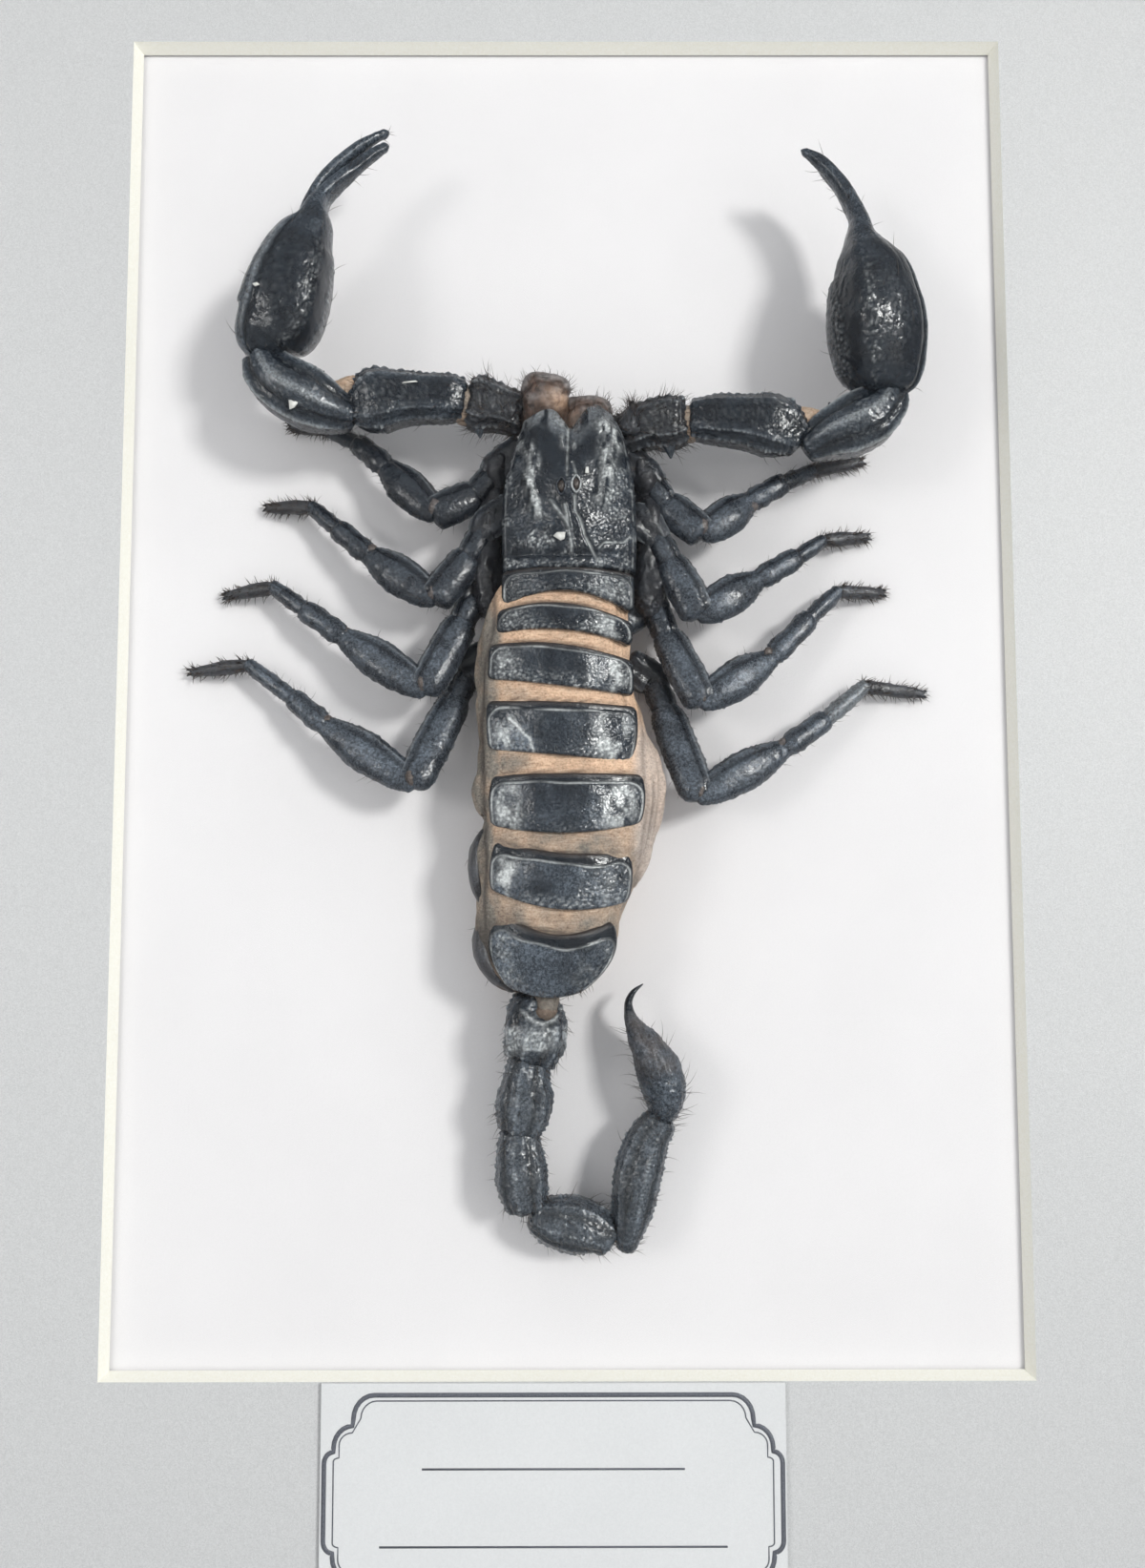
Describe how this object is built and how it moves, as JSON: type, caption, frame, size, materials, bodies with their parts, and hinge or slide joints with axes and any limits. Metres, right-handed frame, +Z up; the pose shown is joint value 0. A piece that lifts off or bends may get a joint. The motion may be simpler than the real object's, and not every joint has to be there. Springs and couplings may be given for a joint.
{
  "type": "framed forest scorpion",
  "caption": "Dried black forest scorpion spread on a pale card in a mat window, behind glass in a deep black shadow-box frame that stands on its bottom rail or hangs on a wall.",
  "frame": {"origin": "middle of the underside of the bottom rail, halfway through the frame's depth", "axes": "+Z up the picture, +X to the right seen from the front, +Y into the back; the glass faces -Y"},
  "size_m": [0.232, 0.04, 0.283],
  "materials": {
    "black_wood": "black stained wood, satin lacquer",
    "clear_glass": "clear picture glass",
    "spacer_board": "grey board strip",
    "mat_paper": "silver-grey mat board with a cream bevel",
    "backing_paper": "off-white card",
    "hardboard": "brown hardboard",
    "label_paper": "white paper, printed border",
    "zinc_steel": "zinc-plated sheet steel",
    "cuticle": "blue-black granular chitin, half gloss",
    "jaw_horn": "brown translucent chitin",
    "membrane": "dry tan skin between the plates"
  },
  "bodies": {
    "root": {"rail_bottom": "black_wood", "rail_right": "black_wood", "rail_top": "black_wood", "rail_left": "black_wood", "glass": "clear_glass", "spacer_left": "spacer_board", "spacer_right": "spacer_board", "spacer_bottom": "spacer_board", "spacer_top": "spacer_board", "mat": "mat_paper", "backing_card": "backing_paper", "back_board": "hardboard", "label_card": "label_paper", "framer_point_1": "zinc_steel", "framer_point_2": "zinc_steel", "framer_point_3": "zinc_steel", "framer_point_4": "zinc_steel", "framer_point_5": "zinc_steel", "framer_point_6": "zinc_steel", "hanger": "zinc_steel", "pedipalp_left_trochanter": "cuticle", "pedipalp_left_femur": "cuticle", "pedipalp_left_patella": "cuticle", "pincer_left_hand": "cuticle", "pincer_left_finger": "cuticle", "pedipalp_right_trochanter": "cuticle", "pedipalp_right_femur": "cuticle", "pedipalp_right_patella": "cuticle", "pincer_right_hand": "cuticle", "pincer_right_finger": "cuticle", "tail_segment_1": "cuticle", "tail_segment_2": "cuticle", "tail_segment_3": "cuticle", "tail_segment_4": "cuticle", "tail_segment_5": "cuticle", "sting": "cuticle", "leg_left_1": "cuticle", "leg_left_2": "cuticle", "leg_left_3": "cuticle", "leg_left_4": "cuticle", "leg_right_1": "cuticle", "leg_right_2": "cuticle", "leg_right_3": "cuticle", "leg_right_4": "cuticle", "tergite_1": "cuticle", "tergite_2": "cuticle", "tergite_3": "cuticle", "tergite_4": "cuticle", "tergite_5": "cuticle", "tergite_6": "cuticle", "tergite_7": "cuticle", "carapace": "cuticle", "coxae": "cuticle", "jaw_left": "jaw_horn", "jaw_right": "jaw_horn", "abdomen": "membrane"}
  },
  "joints": []
}
